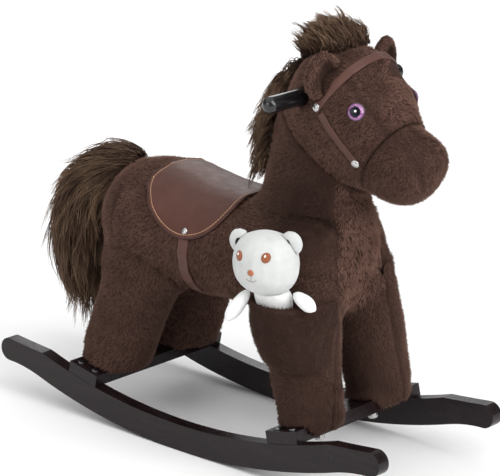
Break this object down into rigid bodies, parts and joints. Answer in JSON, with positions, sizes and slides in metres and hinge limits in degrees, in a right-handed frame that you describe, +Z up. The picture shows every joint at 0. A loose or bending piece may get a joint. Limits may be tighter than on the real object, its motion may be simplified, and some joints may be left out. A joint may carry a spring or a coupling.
{
  "type": "rocking horse",
  "caption": "Plush ride-on rocking horse on curved wooden rockers, with saddle, bridle, handle, and a small stuffed bear that lifts out of a pocket on its foreleg.",
  "frame": {"origin": "middle of the bounding box in plan, on the floor under the rockers", "axes": "+X forward along the rockers, +Y to the horse's left, +Z up"},
  "size_m": [0.6601, 0.2826, 0.5546],
  "materials": {
    "wood": "near-black espresso lacquer, satin-gloss",
    "inner_wood": "plain unfinished board, hidden",
    "screw": "dark screw heads",
    "steel": "bright rivets and cap nuts",
    "plush": "short-pile brown plush fur",
    "hair": "long olive-brown hair pile",
    "leather": "smooth leatherette with tan stitching",
    "strap": "smooth leatherette strap",
    "handle": "high-gloss black",
    "eye": "pink glitter iris, dark pupil, clear dome",
    "bear": "short off-white velour"
  },
  "bodies": {
    "horse": {"rocker_right": "wood", "rocker_left": "wood", "crossbar_front": "wood", "crossbar_screw_front_right_1": "screw", "crossbar_screw_front_right_2": "screw", "leg_bolt_front_right": "steel", "crossbar_screw_front_left_1": "screw", "crossbar_screw_front_left_2": "screw", "leg_bolt_front_left": "steel", "crossbar_rear": "wood", "crossbar_screw_rear_right_1": "screw", "crossbar_screw_rear_right_2": "screw", "leg_bolt_rear_right": "steel", "crossbar_screw_rear_left_1": "screw", "crossbar_screw_rear_left_2": "screw", "leg_bolt_rear_left": "steel", "leg_post_front_right": "inner_wood", "leg_post_front_left": "inner_wood", "leg_post_rear_right": "inner_wood", "leg_post_rear_left": "inner_wood", "spine_board": "inner_wood", "neck_board": "inner_wood", "handle_bar": "handle", "torso_plush": "plush", "leg_plush_front_right": "plush", "leg_plush_front_left": "plush", "leg_plush_rear_right": "plush", "leg_plush_rear_left": "plush", "neck_plush": "plush", "head_plush": "plush", "muzzle_plush": "plush", "eye_right": "eye", "eye_left": "eye", "ear_right": "plush", "ear_left": "plush", "forelock": "hair", "mane": "hair", "saddle": "leather", "girth_strap": "strap", "saddle_rivet_right": "steel", "saddle_rivet_left": "steel", "cheek_strap_right": "strap", "cheek_strap_left": "strap", "browband": "strap", "bridle_rivet_temple_right": "steel", "bridle_rivet_temple_left": "steel", "bridle_rivet_cheek_right": "steel", "bridle_rivet_cheek_left": "steel", "bear_pocket": "plush"},
    "tail": {"tail": "hair"},
    "bear": {"bear_head": "bear", "bear_body": "bear", "bear_ear_front": "bear", "bear_ear_rear": "bear"},
    "bear_front_arm": {"bear_arm_front": "bear"},
    "bear_rear_arm": {"bear_arm_rear": "bear"}
  },
  "joints": [
    {"name": "bear_lift", "type": "slide", "parent": "horse", "child": "bear", "axis": [0, 0, 1], "range_m": [0, 0.12]},
    {"name": "bear_front_arm_raise", "type": "hinge", "parent": "bear", "child": "bear_front_arm", "pos_m": [0.1853, -0.0929, 0.2448], "axis": [0.2419, -0.9703, 0], "range_deg": [0, 40]},
    {"name": "bear_rear_arm_raise", "type": "hinge", "parent": "bear", "child": "bear_rear_arm", "pos_m": [0.1231, -0.1125, 0.239], "axis": [-0.2419, 0.9703, 0], "range_deg": [0, 40]},
    {"name": "tail_lift", "type": "hinge", "parent": "horse", "child": "tail", "pos_m": [-0.184, 0.0153, 0.333], "axis": [0, 1, 0], "range_deg": [0, 50]}
  ]
}
